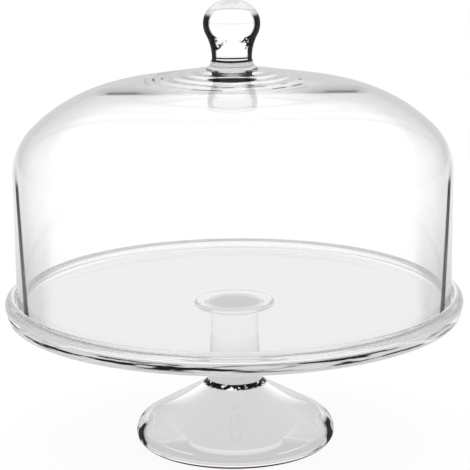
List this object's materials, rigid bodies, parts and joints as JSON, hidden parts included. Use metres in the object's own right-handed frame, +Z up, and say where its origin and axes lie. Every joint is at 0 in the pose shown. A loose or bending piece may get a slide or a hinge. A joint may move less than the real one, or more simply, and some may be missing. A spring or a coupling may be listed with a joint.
{
  "type": "glass cake stand",
  "caption": "Clear glass cake stand: a round rimmed plate on a solid pedestal foot, under a loose blown dome with a solid glass knob.",
  "frame": {"origin": "centre of the foot's ground ring, on the table", "axes": "+Z up along the axis that every piece is a revolve about; +X and +Y are alike"},
  "size_m": [0.285, 0.285, 0.2785],
  "materials": {
    "blown_glass": "gloss",
    "pressed_glass": "gloss"
  },
  "bodies": {
    "root": {"dome": "blown_glass", "knob": "blown_glass", "plate": "pressed_glass", "foot": "pressed_glass"}
  },
  "joints": []
}
